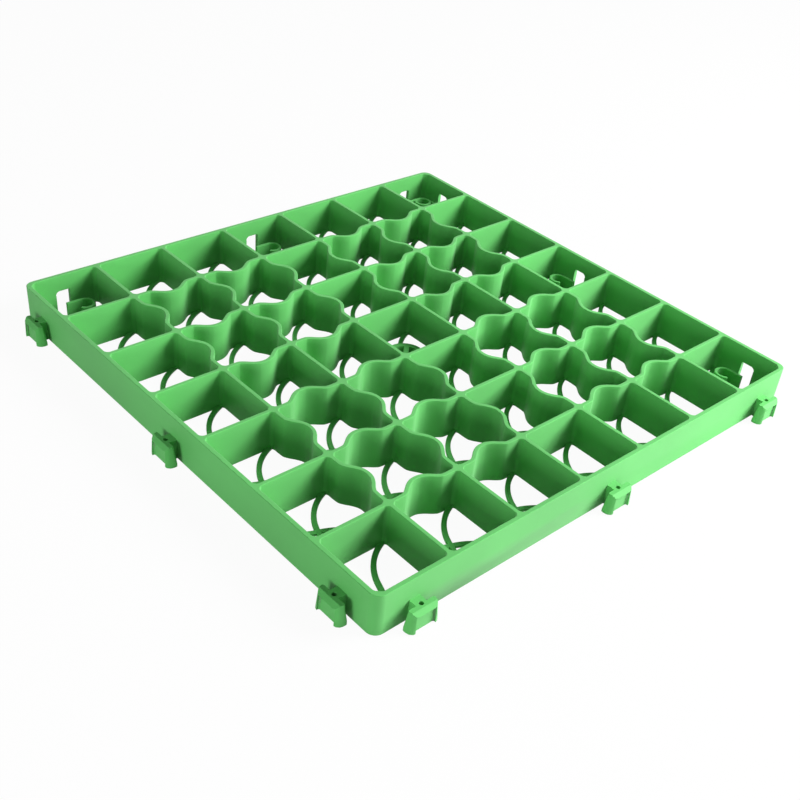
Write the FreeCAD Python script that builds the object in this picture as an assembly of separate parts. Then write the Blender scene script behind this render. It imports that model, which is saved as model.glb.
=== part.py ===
import FreeCAD, Part
import math
import os

# Grass paver grid, moulded in one piece of plastic. Millimetres, +Z up.
# The origin is the middle of the underside. The hooks are on the -X and -Y edges, the slots on +X and +Y.

# Grid of cells
side = 500.0
height = 38.0
cells = 7
outer_wall = 4.0
inner_wall = 3.6
corner_radius = 8.5
cell_chamfer = 2.5

# Wavy walls: a straight stub at each end, then a bulge made of a foot, a crest and a foot
# that run into each other; their curves are drawn with a few flats, as many cells repeat them
wave_stub = 14.3
wave_depth = 10.7
wave_foot_radius = 8.6
wave_foot_flats = 2
wave_crest_flats = 4

# Curved strips across the floor of each cell; the bow is measured from the straight line
# between the middle and a corner of the cell
strip_width = 4.4
strip_bow = 6.2
strip_thickness = 2.5
strip_flats = 3

# Wheel in the middle cell
wheel_radius = 19.0
wheel_rim = 5.5
wheel_spoke = 5.0
wheel_height = 7.5

# Hooks: a neck from the wall and a head across its end, which is widest and deepest at the bottom
hook_height = 19.0
neck_width = 10.0
neck_length = 7.0
head_width = 29.0
head_depth = 7.3
head_flare = 2.2
head_front_radius = 5.5
head_back_radius = 1.5
head_corner_flats = 3
head_chamfer = 3.4
pocket_width = 19.0
pocket_depth = 2.5
pocket_radius = 1.5
hook_hole_diameter = 4.0

# Slots that take the neck of the next grid's hook
slot_side_clearance = 2.0
slot_top_clearance = 3.0
slot_far_radius = 4.0
slot_near_radius = 1.5

# Keepers behind the slots: an upright plate that ends in a curl
keeper_height = 16.0
keeper_plate = 3.0
keeper_clearance = 1.0
keeper_lap = 3.6
curl_radius = 8.2
curl_thickness = 2.6
curl_sweep = 234.0

# Depth by which pieces run into the wall that carries them
overlap = 1.0

pitch = side / cells
half_side = side / 2
straight_rows = (0, cells // 2, cells - 1)
hook_cells = straight_rows
middle_cell = cells // 2

wave_run = pitch / 2 - wave_stub
wave_turn = 2 * math.degrees(math.atan(wave_depth / wave_run))
wave_crest_radius = wave_run / math.sin(math.radians(wave_turn)) - wave_foot_radius

strip_chord = pitch / math.sqrt(2)
strip_radius = strip_chord ** 2 / (8 * strip_bow) + strip_bow / 2
strip_half_turn = math.degrees(math.asin(strip_chord / 2 / strip_radius))

head_back = neck_length
head_front = neck_length + head_depth
slot_width = neck_width + 2 * slot_side_clearance
slot_top = hook_height + slot_top_clearance
keeper_middle = head_front - outer_wall + keeper_clearance + keeper_plate / 2
curl_inset = keeper_middle + curl_radius


def flat(x, y):
    return FreeCAD.Vector(x, y, 0)


def line(start, end):
    return Part.LineSegment(start, end).toShape()


def arc(start, through, end):
    return Part.Arc(start, through, end).toShape()


def round_arc(centre, radius, first, last):
    """Arc about a centre, between two directions in degrees."""
    points = []
    for angle in (first, (first + last) / 2, last):
        turn = math.radians(angle)
        points.append(centre + flat(radius * math.cos(turn), radius * math.sin(turn)))
    return arc(*points)


def arc_points(centre, radius, first, last, flats):
    """Points that divide an arc between two directions in degrees into flats."""
    points = []
    for step in range(flats + 1):
        turn = math.radians(first + (last - first) * step / flats)
        points.append((centre[0] + radius * math.cos(turn), centre[1] + radius * math.sin(turn)))
    return points


def polygon(points):
    corners = [flat(*point) for point in points]
    return Part.Face(Part.makePolygon(corners + corners[:1]))


def face_of(edges):
    return Part.Face(Part.Wire(Part.__sortEdges__(edges)))


def corner_arcs(x_low, x_high, y_low, y_high, radii):
    """Centre, radius and first direction of a rectangle's corners, counter-clockwise from low x, low y."""
    corners = (
        (x_low, y_low, 1, 1, 180),
        (x_high, y_low, -1, 1, 270),
        (x_high, y_high, -1, -1, 0),
        (x_low, y_high, 1, -1, 90),
    )
    return [((x + to_x * radius, y + to_y * radius), radius, first)
            for (x, y, to_x, to_y, first), radius in zip(corners, radii)]


def flat_cornered_box(x_low, x_high, y_low, y_high, radii, flats):
    """Face of a rectangle with rounded corners that are drawn with a few flats each."""
    points = []
    for centre, radius, first in corner_arcs(x_low, x_high, y_low, y_high, radii):
        points += arc_points(centre, radius, first, first + 90, flats)
    return polygon(points)


def rounded_box(x_low, x_high, y_low, y_high, radii):
    """Face of a rectangle with rounded corners."""
    edges = []
    ends = []
    for centre, radius, first in corner_arcs(x_low, x_high, y_low, y_high, radii):
        curve = round_arc(flat(*centre), radius, first, first + 90)
        edges.append(curve)
        ends.append((curve.valueAt(curve.FirstParameter), curve.valueAt(curve.LastParameter)))
    for index, (start, end) in enumerate(ends):
        following = ends[(index + 1) % len(ends)][0]
        edges.append(line(end, following))
    return face_of(edges)


def cell_middle(cell):
    """Distance from the origin, along an edge, to the middle of a cell."""
    return (cell + 0.5) * pitch - half_side


def wave_direction(wall, row):
    """Way in which a wall bulges in a row of cells: towards the middle of the grid, or 0 if straight."""
    if wall in (0, cells) or row in straight_rows:
        return 0
    return 1 if wall <= cells // 2 else -1


def wall_inset(wall):
    """Distance from a line of the grid to the face of the wall on it."""
    return outer_wall if wall in (0, cells) else inner_wall / 2


def wall_side(wall, row, toward, begin, end):
    """Points of one face of a wall along a cell, as distances along the wall and out from its grid line."""
    inset = toward * wall_inset(wall)
    bulge = wave_direction(wall, row)
    if bulge == 0:
        return [(begin, inset), (end, inset)]
    offset = bulge * inset
    foot = arc_points((wave_stub, wave_foot_radius), wave_foot_radius - offset,
                      -90, wave_turn - 90, wave_foot_flats)
    crest = arc_points((pitch / 2, wave_depth - wave_crest_radius), wave_crest_radius + offset,
                       90 + wave_turn, 90 - wave_turn, wave_crest_flats)
    far_foot = [(pitch - along, out) for along, out in reversed(foot)]
    wave = [(along, bulge * out) for along, out in foot + crest[1:-1] + far_foot]
    return [(begin, inset)] + wave + [(end, inset)]


def corner_cut(column_wall, row_wall):
    """Chamfer inside a corner of a cell; at the corners of the grid it follows the outer radius."""
    if column_wall in (0, cells) and row_wall in (0, cells):
        return corner_radius - outer_wall
    return cell_chamfer


def cell_opening(column, row):
    """Face of the opening of one cell, between its four walls."""
    low_x = column * pitch - half_side
    low_y = row * pitch - half_side

    def x_side(wall, toward):
        begin = wall_inset(column) + corner_cut(column, wall)
        end = pitch - wall_inset(column + 1) - corner_cut(column + 1, wall)
        base = (wall - row) * pitch
        points = wall_side(wall, column, toward, begin, end)
        return [(low_x + along, low_y + base + out) for along, out in points]

    def y_side(wall, toward):
        begin = wall_inset(row) + corner_cut(wall, row)
        end = pitch - wall_inset(row + 1) - corner_cut(wall, row + 1)
        base = (wall - column) * pitch
        points = wall_side(wall, row, toward, begin, end)
        return [(low_x + base + out, low_y + along) for along, out in points]

    ahead = x_side(row, 1) + y_side(column + 1, -1)
    back = y_side(column, 1) + x_side(row + 1, -1)
    return polygon(ahead + back[::-1])


def strip_arm(column, row, quarter):
    """Bowed strip from the middle of a cell to one of its corners."""
    chord_turn = math.radians(45 + 90 * quarter)
    bow_angle = 135 + 90 * quarter
    bow_turn = math.radians(bow_angle)
    back = strip_radius - strip_bow
    centre = (
        cell_middle(column) + strip_chord / 2 * math.cos(chord_turn) - back * math.cos(bow_turn),
        cell_middle(row) + strip_chord / 2 * math.sin(chord_turn) - back * math.sin(bow_turn),
    )
    sweep = (bow_angle + strip_half_turn, bow_angle - strip_half_turn, strip_flats)
    outer = arc_points(centre, strip_radius + strip_width / 2, *sweep)
    inner = arc_points(centre, strip_radius - strip_width / 2, *sweep)
    return polygon(outer + inner[::-1])


def strip_arms(column, row):
    """Strips of one cell: a pinwheel of four arms, or one wave from corner to corner in the first cell."""
    quarters = (0, 2) if (column, row) == (0, 0) else (0, 1, 2, 3)
    return [strip_arm(column, row, quarter) for quarter in quarters]


def placed(shape, u, edge):
    """Shape drawn at the +Y edge, with the wall's outer face at y = 0, moved to its place on an edge."""
    origin = FreeCAD.Vector(0, 0, 0)
    if edge in ("-x", "-y"):
        shape = shape.mirror(origin, FreeCAD.Vector(0, 1, 0))
        shape.translate(flat(u, -half_side))
    else:
        shape = shape.copy()
        shape.translate(flat(u, half_side))
    if edge in ("-x", "+x"):
        shape = shape.mirror(origin, FreeCAD.Vector(1, -1, 0))
    return shape


def on_edges(make, edges):
    """Copies of a shape for every hook or slot on the given edges."""
    return [placed(make(), cell_middle(cell), edge) for edge in edges for cell in hook_cells]


def hook():
    """Hook at an edge whose outer face is y = 0, pointing to +y."""
    half_neck = neck_width / 2
    half_foot = head_width / 2
    half_top = half_foot - head_flare
    neck = Part.makeBox(neck_width, neck_length + 2 * overlap, hook_height)
    neck.translate(FreeCAD.Vector(-half_neck, -overlap, 0))
    radii = (head_back_radius, head_back_radius, head_front_radius, head_front_radius)
    foot_back = head_back - head_flare
    foot = flat_cornered_box(-half_foot, half_foot, foot_back, head_front, radii, head_corner_flats)
    top = flat_cornered_box(-half_top, half_top, head_back, head_front, radii, head_corner_flats)
    top.translate(FreeCAD.Vector(0, 0, hook_height))
    head = Part.makeLoft([foot.OuterWire, top.OuterWire], True, True)
    solid = neck.fuse(head)
    edge_of_chamfer = [
        FreeCAD.Vector(-head_width, head_front, hook_height - head_chamfer),
        FreeCAD.Vector(-head_width, head_front + overlap, hook_height - head_chamfer),
        FreeCAD.Vector(-head_width, head_front + overlap, hook_height + overlap),
        FreeCAD.Vector(-head_width, head_front - head_chamfer - overlap, hook_height + overlap),
        FreeCAD.Vector(-head_width, head_front - head_chamfer, hook_height),
    ]
    corner = Part.Face(Part.makePolygon(edge_of_chamfer + edge_of_chamfer[:1]))
    chamfer = corner.extrude(FreeCAD.Vector(2 * head_width, 0, 0))
    half_pocket = pocket_width / 2
    pocket_face = rounded_box(-half_pocket, half_pocket, head_front - pocket_depth, head_front + head_depth,
                              (pocket_radius,) * 4)
    pocket = pocket_face.extrude(FreeCAD.Vector(0, 0, hook_height - head_chamfer))
    hole = Part.makeCylinder(hook_hole_diameter / 2, hook_height + 2 * overlap,
                             FreeCAD.Vector(0, head_back, -overlap))
    return solid.cut([chamfer, pocket, hole])


def slot():
    """Slot through an edge wall whose outer face is y = 0, open at the bottom."""
    half = slot_width / 2
    low = -slot_top
    outline = rounded_box(-half, half, low, slot_top,
                          (slot_far_radius, slot_near_radius, slot_near_radius, slot_far_radius))
    outline.rotate(FreeCAD.Vector(0, 0, 0), FreeCAD.Vector(1, 0, 0), 90)
    cutter = outline.extrude(FreeCAD.Vector(0, -(outer_wall + 2 * overlap), 0))
    cutter.translate(FreeCAD.Vector(0, overlap, 0))
    return cutter


def keeper():
    """Keeper behind a slot in an edge wall whose outer face is y = 0."""
    plate_y = -(outer_wall + keeper_middle)
    curl_x = pitch / 2 - outer_wall - curl_inset
    plate = Part.makeBox(curl_x + keeper_lap, keeper_plate, keeper_height)
    plate.translate(FreeCAD.Vector(-keeper_lap, plate_y - keeper_plate / 2, 0))
    centre = flat(curl_x, -(outer_wall + curl_inset))
    outer = round_arc(centre, curl_radius + curl_thickness / 2, 90, 90 - curl_sweep)
    inner = round_arc(centre, curl_radius - curl_thickness / 2, 90, 90 - curl_sweep)
    edges = [outer, inner]
    edges.append(line(outer.valueAt(outer.FirstParameter), inner.valueAt(inner.FirstParameter)))
    edges.append(line(outer.valueAt(outer.LastParameter), inner.valueAt(inner.LastParameter)))
    curl = face_of(edges).extrude(FreeCAD.Vector(0, 0, keeper_height))
    floor = Part.makeCylinder(curl_radius, strip_thickness, centre)
    return plate.fuse([curl, floor])


def wheel():
    """Spoked wheel on the floor of the middle cell."""
    spoke_length = 2 * wheel_radius - wheel_rim
    rim = Part.makeCylinder(wheel_radius, wheel_height).cut(
        Part.makeCylinder(wheel_radius - wheel_rim, wheel_height))
    spokes = []
    for angle in (45, 135):
        spoke = Part.makeBox(spoke_length, wheel_spoke, wheel_height)
        spoke.translate(FreeCAD.Vector(-spoke_length / 2, -wheel_spoke / 2, 0))
        spoke.rotate(FreeCAD.Vector(), FreeCAD.Vector(0, 0, 1), angle)
        spokes.append(spoke)
    return rim.fuse(spokes)


def head_room():
    """Plan of the room that the head of the next grid's hook needs behind a slot."""
    half = head_width / 2 + keeper_clearance
    reach = keeper_middle - keeper_plate / 2
    return rounded_box(-half, half, -(outer_wall + reach), -outer_wall, (keeper_clearance,) * 4)


def floor_clearances(column, row):
    """Plans of what has no strip across it in a cell."""
    clear = []
    if column == cells - 1 and row in hook_cells:
        clear.append(placed(head_room(), cell_middle(row), "+x"))
    if row == cells - 1 and column in hook_cells:
        clear.append(placed(head_room(), cell_middle(column), "+y"))
    if (column, row) == (middle_cell, middle_cell):
        clear.append(Part.Face(Part.Wire(Part.makeCircle(wheel_radius - wheel_rim))))
    return clear


def grid_layers():
    """The walls of the grid above its floor strips, and the layer that has the strips and the walls."""
    outline = rounded_box(-half_side, half_side, -half_side, half_side, (corner_radius,) * 4)
    openings = []
    floor_holes = []
    for column in range(cells):
        for row in range(cells):
            opening = cell_opening(column, row)
            openings.append(opening.OuterWire)
            arms = strip_arms(column, row)
            clear = floor_clearances(column, row)
            if clear:
                arms = [arm.cut(clear) for arm in arms]
            pieces = opening.cut(arms)
            floor_holes += [face.OuterWire for face in pieces.Faces]
    bullseye = "Part::FaceMakerBullseye"
    walls = Part.makeFace([outline.OuterWire] + openings, bullseye)
    floor = Part.makeFace([outline.OuterWire] + floor_holes, bullseye)
    lower = floor.extrude(FreeCAD.Vector(0, 0, strip_thickness))
    upper = walls.extrude(FreeCAD.Vector(0, 0, height - strip_thickness))
    upper.translate(FreeCAD.Vector(0, 0, strip_thickness))
    return lower, upper


def paver_grid():
    """The whole grid: walls, floor strips, wheel, hooks, slots and keepers."""
    slots = on_edges(slot, ("+x", "+y"))
    keepers = on_edges(keeper, ("+x", "+y"))
    hooks = on_edges(hook, ("-x", "-y"))
    lower, upper = grid_layers()
    solid = lower.fuse([upper, wheel()] + keepers + hooks)
    return solid.cut(slots).removeSplitter()


os.makedirs("parts", exist_ok=True)
shape = paver_grid()
print("solids", len(shape.Solids), "valid", shape.isValid(), "faces", len(shape.Faces))
print("volume cm3", round(shape.Volume / 1000, 1), "box", shape.BoundBox)
shape.Solids[0].exportStep("parts/paver_grid.step")
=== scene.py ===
import math

import bmesh
import bpy
from mathutils import Matrix, Vector


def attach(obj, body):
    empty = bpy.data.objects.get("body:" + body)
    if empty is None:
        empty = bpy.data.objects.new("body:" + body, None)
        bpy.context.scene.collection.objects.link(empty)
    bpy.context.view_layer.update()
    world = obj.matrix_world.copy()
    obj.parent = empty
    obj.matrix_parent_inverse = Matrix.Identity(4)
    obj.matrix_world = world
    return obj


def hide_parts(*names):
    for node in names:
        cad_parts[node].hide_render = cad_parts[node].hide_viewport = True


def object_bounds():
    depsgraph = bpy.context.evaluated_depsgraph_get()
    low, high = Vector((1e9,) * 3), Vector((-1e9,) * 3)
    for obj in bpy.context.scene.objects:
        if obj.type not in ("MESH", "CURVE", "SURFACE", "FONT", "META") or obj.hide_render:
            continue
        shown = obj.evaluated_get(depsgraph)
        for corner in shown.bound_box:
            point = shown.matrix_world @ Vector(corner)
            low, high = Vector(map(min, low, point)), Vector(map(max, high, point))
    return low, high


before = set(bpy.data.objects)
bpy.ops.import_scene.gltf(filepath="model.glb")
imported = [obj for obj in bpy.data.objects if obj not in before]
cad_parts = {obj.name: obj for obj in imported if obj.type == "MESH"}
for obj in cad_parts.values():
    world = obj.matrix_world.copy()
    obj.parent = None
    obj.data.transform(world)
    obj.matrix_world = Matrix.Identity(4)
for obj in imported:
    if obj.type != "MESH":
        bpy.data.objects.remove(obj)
cadLow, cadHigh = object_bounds()
scene = bpy.context.scene
scene.view_settings.view_transform = "Standard"
print("stage: frame loaded", [round(v, 4) for v in cadLow], [round(v, 4) for v in cadHigh])

# green plastic of the whole grid
plastic = {
    "deep": (0.048, 0.400, 0.054, 1),
    "light": (0.064, 0.480, 0.072, 1),
    "cloudScale": 9.0,
    "cloudDetail": 4.0,
    "cloudLow": 0.35,
    "cloudHigh": 0.65,
    "grainScale": 1500.0,
    "roughLow": 0.52,
    "roughHigh": 0.64,
    "shine": 0.25,
    "bloom": 0.19,
    "bloomRough": 0.85,
    "bump": 0.05,
    "bumpDepth": 0.0002,
    "sharpAngle": 40.0,
}


def makePlastic():
    material = bpy.data.materials.new("greenPlastic")
    material.use_nodes = True
    nodes = material.node_tree.nodes
    links = material.node_tree.links
    shader = nodes["Principled BSDF"]
    shader.inputs["IOR"].default_value = 1.5
    shader.inputs["Specular IOR Level"].default_value = plastic["shine"]
    shader.inputs["Sheen Weight"].default_value = plastic["bloom"]
    shader.inputs["Sheen Roughness"].default_value = plastic["bloomRough"]
    coords = nodes.new("ShaderNodeTexCoord")
    cloud = nodes.new("ShaderNodeTexNoise")
    cloud.inputs["Scale"].default_value = plastic["cloudScale"]
    cloud.inputs["Detail"].default_value = plastic["cloudDetail"]
    links.new(coords.outputs["Object"], cloud.inputs["Vector"])
    tint = nodes.new("ShaderNodeValToRGB")
    tint.color_ramp.elements[0].position = plastic["cloudLow"]
    tint.color_ramp.elements[0].color = plastic["deep"]
    tint.color_ramp.elements[1].position = plastic["cloudHigh"]
    tint.color_ramp.elements[1].color = plastic["light"]
    links.new(cloud.outputs["Fac"], tint.inputs["Fac"])
    links.new(tint.outputs["Color"], shader.inputs["Base Color"])
    rough = nodes.new("ShaderNodeMapRange")
    rough.inputs["To Min"].default_value = plastic["roughLow"]
    rough.inputs["To Max"].default_value = plastic["roughHigh"]
    links.new(cloud.outputs["Fac"], rough.inputs["Value"])
    links.new(rough.outputs["Result"], shader.inputs["Roughness"])
    grain = nodes.new("ShaderNodeTexNoise")
    grain.inputs["Scale"].default_value = plastic["grainScale"]
    links.new(coords.outputs["Object"], grain.inputs["Vector"])
    bump = nodes.new("ShaderNodeBump")
    bump.inputs["Strength"].default_value = plastic["bump"]
    bump.inputs["Distance"].default_value = plastic["bumpDepth"]
    links.new(grain.outputs["Fac"], bump.inputs["Height"])
    links.new(bump.outputs["Normal"], shader.inputs["Normal"])
    return material


def showPiece(name, shape, material):
    mesh = bpy.data.meshes.new(name)
    bmesh.ops.recalc_face_normals(shape, faces=shape.faces[:])
    shape.to_mesh(mesh)
    shape.free()
    mesh.materials.append(material)
    mesh.shade_smooth()
    mesh.set_sharp_from_angle(angle=math.radians(plastic["sharpAngle"]))
    piece = bpy.data.objects.new(name, mesh)
    scene.collection.objects.link(piece)
    weighted = piece.modifiers.new("evenNormals", "WEIGHTED_NORMAL")
    weighted.keep_sharp = True
    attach(piece, "root")
    print("stage:", name, len(mesh.vertices), "vertices", len(mesh.polygons), "faces")
    return piece


# walls, hooks, slots, keepers and wheel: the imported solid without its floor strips, with its edges rounded
walls = {
    "stripTop": 0.0026,
    "merge": 0.00001,
    "cutReach": 0.0000001,
    "uprightShare": 0.95,
    "flatAngle": 0.6,
    "curveLow": 10.0,
    "curveHigh": 36.0,
    "curveShare": 45.0,
    "curveSegments": 4,
    "cornerHigh": 50.0,
    "cornerRound": 0.0013,
    "rimRound": 0.0006,
    "rimSegments": 3,
    "hookFrom": -0.2503,
    "hookAngle": 36.0,
    "hookRound": 0.0005,
    "holeEdge": 0.0007,
}


def upright(edge):
    low, high = edge.verts
    return abs(high.co.z - low.co.z) > walls["uprightShare"] * (high.co - low.co).length


def edgesBetween(shape, lowAngle, highAngle):
    low = math.radians(lowAngle)
    high = math.radians(highAngle)
    return [edge for edge in shape.edges if edge.is_manifold and low < edge.calc_face_angle(0) <= high]


def openEdges(shape, level):
    return [edge for edge in shape.edges if edge.is_boundary and
            all(abs(vert.co.z - level) < walls["merge"] for vert in edge.verts)]


def onHook(edge):
    return any(min(vert.co.x, vert.co.y) < walls["hookFrom"] for vert in edge.verts)


def roundEdges(shape, edges, offset, kind, segments, clamp=False):
    bmesh.ops.bevel(shape, geom=edges, offset=offset, offset_type=kind, affect="EDGES", segments=segments,
                    profile=0.5, material=-1, clamp_overlap=clamp)


def makeWalls(material):
    shape = bmesh.new()
    shape.from_mesh(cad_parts["paver_grid"].data)
    bmesh.ops.remove_doubles(shape, verts=shape.verts[:], dist=walls["merge"])
    bmesh.ops.bisect_plane(shape, geom=shape.verts[:] + shape.edges[:] + shape.faces[:],
                           dist=walls["cutReach"], plane_co=(0, 0, walls["stripTop"]),
                           plane_no=(0, 0, 1), clear_inner=True)
    top = cadHigh[2]
    flat = math.radians(walls["flatAngle"])
    lid = [face for face in shape.faces if face.calc_center_median().z > top - walls["merge"]]
    bmesh.ops.delete(shape, geom=lid, context="FACES")
    bmesh.ops.dissolve_limit(shape, angle_limit=flat, use_dissolve_boundaries=True,
                             verts=shape.verts[:], edges=shape.edges[:])
    drop = bmesh.ops.extrude_edge_only(shape, edges=openEdges(shape, walls["stripTop"]))["geom"]
    for vert in [item for item in drop if isinstance(item, bmesh.types.BMVert)]:
        vert.co.z = 0
    bmesh.ops.dissolve_limit(shape, angle_limit=flat, use_dissolve_boundaries=False,
                             verts=shape.verts[:], edges=shape.edges[:])
    curves = [edge for edge in edgesBetween(shape, walls["curveLow"], walls["curveHigh"])
              if upright(edge) and not onHook(edge)]
    print("stage: walls cut", len(shape.verts), len(shape.faces), "curves", len(curves))
    roundEdges(shape, curves, walls["curveShare"], "PERCENT", walls["curveSegments"])
    corners = [edge for edge in edgesBetween(shape, walls["curveHigh"], walls["cornerHigh"])
               if upright(edge) and not onHook(edge)]
    roundEdges(shape, corners, walls["cornerRound"], "OFFSET", walls["rimSegments"])
    for level in (0, top):
        bmesh.ops.triangle_fill(shape, edges=openEdges(shape, level), use_beauty=True)
    bmesh.ops.dissolve_limit(shape, angle_limit=flat, use_dissolve_boundaries=False,
                             verts=shape.verts[:], edges=shape.edges[:])
    bmesh.ops.recalc_face_normals(shape, faces=shape.faces[:])
    rims = [edge for edge in edgesBetween(shape, walls["cornerHigh"], 180)
            if min(vert.co.z for vert in edge.verts) > walls["stripTop"] and not onHook(edge)]
    roundEdges(shape, rims, walls["rimRound"], "OFFSET", walls["rimSegments"])
    hooks = [edge for edge in edgesBetween(shape, walls["hookAngle"], 180)
             if onHook(edge) and edge.calc_length() > walls["holeEdge"]]
    roundEdges(shape, hooks, walls["hookRound"], "OFFSET", walls["rimSegments"], clamp=True)
    loose = [edge for edge in shape.edges if not edge.is_manifold]
    print("stage: walls rounded, corners", len(corners), "rims", len(rims), "open edges", len(loose))
    piece = showPiece("gridWalls", shape, material)
    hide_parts("paver_grid")


# curved strips across the floor of each cell
strips = {
    "half": 0.25,
    "pitch": 0.5 / 7,
    "cells": 7,
    "slotCells": (0, 3, 6),
    "width": 0.0044,
    "thick": 0.0025,
    "bow": 0.0062,
    "lift": 0.00005,
    "step": 0.00002,
    "edgeRound": 0.0006,
    "edgeSegments": 3,
    "steps": 12,
    "wheelClear": 0.0163,
    "sideCut": 0.2485,
    "cornerCut": 0.3490,
    "roomDepth": 0.0204,
    "roomHalf": 0.0155,
}


def armMesh(lift, clear):
    chord = strips["pitch"] / math.sqrt(2)
    radius = chord ** 2 / (8 * strips["bow"]) + strips["bow"] / 2
    half = math.asin(chord / 2 / radius)
    skip = 2 * math.asin(clear / 2 / radius)
    chordTurn = math.radians(45)
    bowTurn = math.radians(135)
    back = radius - strips["bow"]
    centre = Vector((chord / 2 * math.cos(chordTurn) - back * math.cos(bowTurn),
                     chord / 2 * math.sin(chordTurn) - back * math.sin(bowTurn), 0))
    shape = bmesh.new()
    low = strips["lift"] + lift
    high = strips["thick"] - lift
    side = strips["width"] / 2
    corners = [shape.verts.new((radius + across, 0, z)) for across, z in
               ((-side, low), (side, low), (side, high), (-side, high))]
    shape.faces.new(corners)
    bmesh.ops.bevel(shape, geom=corners[2:], offset=strips["edgeRound"], offset_type="OFFSET",
                    affect="VERTICES", segments=strips["edgeSegments"], profile=0.5, material=-1)
    place = Matrix.Translation(centre) @ Matrix.Rotation(bowTurn + half - skip, 4, "Z")
    bmesh.ops.transform(shape, matrix=place, verts=shape.verts[:])
    bmesh.ops.spin(shape, geom=shape.faces[:] + shape.edges[:] + shape.verts[:], cent=centre,
                   axis=(0, 0, -1), angle=2 * half - skip, steps=strips["steps"], use_duplicate=False)
    mesh = bpy.data.meshes.new("stripArm")
    shape.to_mesh(mesh)
    shape.free()
    return mesh


def trim(shape, geometry, place, way):
    cut = bmesh.ops.bisect_plane(shape, geom=geometry, dist=walls["cutReach"], plane_co=place,
                                 plane_no=way, clear_outer=True)
    ends = [item for item in cut["geom_cut"] if isinstance(item, bmesh.types.BMEdge)]
    if ends:
        bmesh.ops.triangle_fill(shape, edges=ends, use_beauty=True)


def addArm(shape, mesh, place, trims):
    part = bmesh.new()
    part.from_mesh(mesh)
    for spot, way in trims:
        trim(part, part.verts[:] + part.edges[:] + part.faces[:], spot, way)
    bmesh.ops.transform(part, matrix=place, verts=part.verts[:])
    copy = bpy.data.meshes.new("armCopy")
    part.to_mesh(copy)
    part.free()
    shape.from_mesh(copy)
    bpy.data.meshes.remove(copy)


def makeStrips(material):
    pitch = strips["pitch"]
    last = strips["cells"] - 1
    slotCells = strips["slotCells"]
    half = strips["half"]
    whole = [armMesh(0, 0), armMesh(strips["step"], 0)]
    short = [armMesh(0, strips["wheelClear"]), armMesh(strips["step"], strips["wheelClear"])]
    roomBehind = [[((0, strips["roomDepth"], 0), (0, 1, 0))], [((strips["roomHalf"], 0, 0), (-1, 0, 0))]]
    shape = bmesh.new()
    for column in range(strips["cells"]):
        for row in range(strips["cells"]):
            middle = Vector(((column + 0.5) * pitch - half, (row + 0.5) * pitch - half, 0))
            arms = short if column == row == strips["cells"] // 2 else whole
            for quarter in ((0, 2) if column == row == 0 else (0, 1, 2, 3)):
                place = Matrix.Translation(middle) @ Matrix.Rotation(math.radians(90 * quarter), 4, "Z")
                atSlot = (quarter == 0 and row == last and column in slotCells) or \
                         (quarter == 3 and column == last and row in slotCells)
                for trims in (roomBehind if atSlot else [[]]):
                    addArm(shape, arms[quarter % 2], place, trims)
    side = strips["sideCut"]
    slant = strips["cornerCut"] / math.sqrt(2)
    for spot in ((side, 0, 0), (-side, 0, 0), (0, side, 0), (0, -side, 0),
                 (slant, slant, 0), (-slant, slant, 0), (-slant, -slant, 0), (slant, -slant, 0)):
        trim(shape, shape.verts[:] + shape.edges[:] + shape.faces[:], spot, spot)
    showPiece("floorStrips", shape, material)


# round floors inside the curls of the keepers
curlFloors = {"inset": 0.0242, "radius": 0.0076, "thick": 0.0024, "lift": 0.00009, "sides": 40}


def makeCurlFloors(material):
    radius = curlFloors["radius"]
    level = curlFloors["thick"] / 2 + curlFloors["lift"]
    across = strips["half"] - curlFloors["inset"]
    shape = bmesh.new()
    for cell in strips["slotCells"]:
        along = (cell + 1) * strips["pitch"] - strips["half"] - curlFloors["inset"]
        for spot in ((along, across), (across, along)):
            bmesh.ops.create_cone(shape, cap_ends=True, segments=curlFloors["sides"], radius1=radius,
                                  radius2=radius, depth=curlFloors["thick"],
                                  matrix=Matrix.Translation((*spot, level)))
    showPiece("curlFloors", shape, material)


# floor: near white to the camera and in reflections, with the soft shadow of the grid on it
floorLook = {
    "size": 6.0,
    "level": -0.0005,
    "colour": (0.62, 0.62, 0.62, 1),
    "rough": 0.9,
    "glow": 0.945,
    "white": (1.01, 1.01, 1.01, 1),
}


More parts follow.
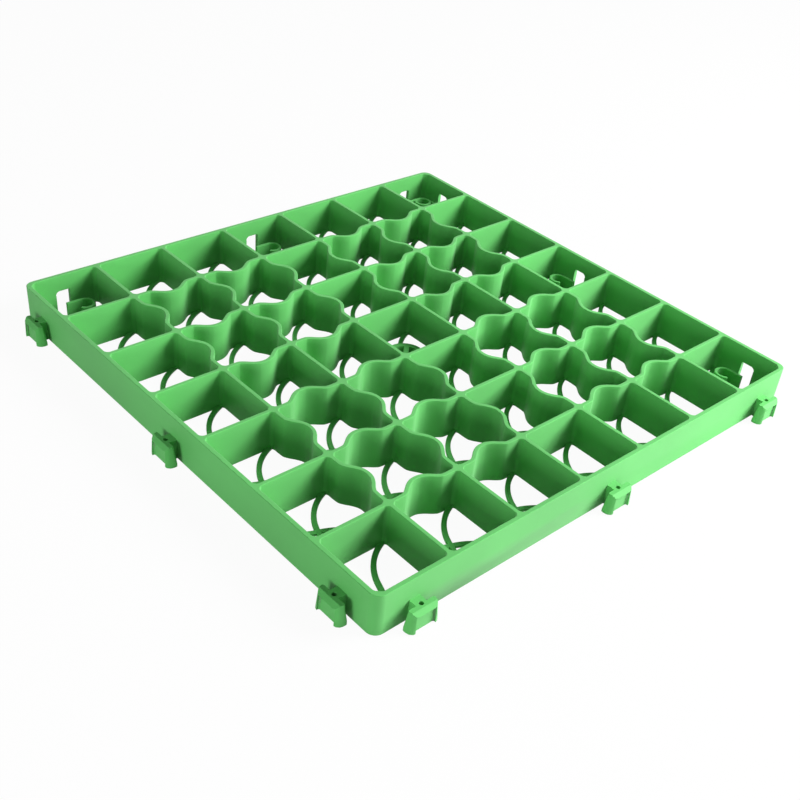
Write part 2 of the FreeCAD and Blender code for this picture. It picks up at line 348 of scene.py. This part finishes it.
def makeFloor():
    shape = bmesh.new()
    bmesh.ops.create_grid(shape, x_segments=1, y_segments=1, size=floorLook["size"])
    bmesh.ops.translate(shape, verts=shape.verts[:], vec=(0, 0, floorLook["level"]))
    mesh = bpy.data.meshes.new("studioFloor")
    shape.to_mesh(mesh)
    shape.free()
    material = bpy.data.materials.new("studioWhite")
    material.use_nodes = True
    nodes = material.node_tree.nodes
    links = material.node_tree.links
    shader = nodes["Principled BSDF"]
    shader.inputs["Base Color"].default_value = floorLook["colour"]
    shader.inputs["Roughness"].default_value = floorLook["rough"]
    shader.inputs["Specular IOR Level"].default_value = 0.0
    glow = nodes.new("ShaderNodeEmission")
    glow.inputs["Color"].default_value = floorLook["white"]
    glow.inputs["Strength"].default_value = 1.0
    light = nodes.new("ShaderNodeLightPath")
    first = nodes.new("ShaderNodeMath")
    first.operation = "MAXIMUM"
    links.new(light.outputs["Is Camera Ray"], first.inputs[0])
    links.new(light.outputs["Is Glossy Ray"], first.inputs[1])
    second = nodes.new("ShaderNodeMath")
    second.operation = "MAXIMUM"
    links.new(first.outputs[0], second.inputs[0])
    links.new(light.outputs["Is Transmission Ray"], second.inputs[1])
    share = nodes.new("ShaderNodeMath")
    share.operation = "MULTIPLY"
    share.inputs[1].default_value = floorLook["glow"]
    links.new(second.outputs[0], share.inputs[0])
    mix = nodes.new("ShaderNodeMixShader")
    links.new(share.outputs[0], mix.inputs["Fac"])
    links.new(shader.outputs[0], mix.inputs[1])
    links.new(glow.outputs[0], mix.inputs[2])
    links.new(mix.outputs[0], nodes["Material Output"].inputs["Surface"])
    mesh.materials.append(material)
    piece = bpy.data.objects.new("studioFloor", mesh)
    scene.collection.objects.link(piece)


# studio light: a large soft key at the right, low fills at the left and front, and an even white surround
studio = {
    "world": 0.17,
    "white": (0.97, 0.97, 0.97, 1),
    "lamps": {
        "keyLight": {"place": (1.30, -1.15, 1.15), "size": 1.0, "power": 76.0},
        "leftFill": {"place": (-1.60, -0.35, 0.18), "size": 0.6, "power": 13.0},
        "frontFill": {"place": (0.45, -1.60, 0.16), "size": 0.6, "power": 7.0},
    },
}


def makeLights():
    world = bpy.data.worlds.new("studioAir")
    scene.world = world
    world.use_nodes = True
    nodes = world.node_tree.nodes
    links = world.node_tree.links
    soft = nodes["Background"]
    soft.inputs["Color"].default_value = (1, 1, 1, 1)
    soft.inputs["Strength"].default_value = studio["world"]
    white = nodes.new("ShaderNodeBackground")
    white.inputs["Color"].default_value = studio["white"]
    white.inputs["Strength"].default_value = 1.0
    light = nodes.new("ShaderNodeLightPath")
    either = nodes.new("ShaderNodeMath")
    either.operation = "MAXIMUM"
    links.new(light.outputs["Is Camera Ray"], either.inputs[0])
    links.new(light.outputs["Is Glossy Ray"], either.inputs[1])
    mix = nodes.new("ShaderNodeMixShader")
    links.new(either.outputs[0], mix.inputs["Fac"])
    links.new(soft.outputs[0], mix.inputs[1])
    links.new(white.outputs[0], mix.inputs[2])
    links.new(mix.outputs[0], nodes["World Output"].inputs["Surface"])
    for name, values in studio["lamps"].items():
        lamp = bpy.data.lights.new(name, "AREA")
        lamp.size = values["size"]
        lamp.energy = values["power"]
        piece = bpy.data.objects.new(name, lamp)
        piece.location = values["place"]
        piece.rotation_euler = (-Vector(values["place"])).to_track_quat("-Z", "Y").to_euler()
        piece.visible_camera = False
        scene.collection.objects.link(piece)


# camera over the near corner, as in the photograph
cameraView = {
    "place": (-0.6194, -0.62567, 0.56856),
    "turn": (2.12173, -0.76548, 0.51903),
    "lens": 50.023,
    "shift": (-0.04, 0.04),
}


def makeCamera():
    lens = bpy.data.cameras.new("studioCamera")
    lens.sensor_width = 36
    lens.lens = cameraView["lens"]
    lens.shift_x, lens.shift_y = cameraView["shift"]
    piece = bpy.data.objects.new("studioCamera", lens)
    axis = Vector(cameraView["turn"])
    rows = Matrix.Rotation(axis.length, 3, axis.normalized())
    right, down, ahead = rows[0], rows[1], rows[2]
    turn = Matrix((right, -down, -ahead)).transposed()
    piece.matrix_world = Matrix.Translation(cameraView["place"]) @ turn.to_4x4()
    scene.collection.objects.link(piece)
    scene.camera = piece


green = makePlastic()
makeWalls(green)
makeStrips(green)
makeCurlFloors(green)
makeFloor()
makeLights()
makeCamera()
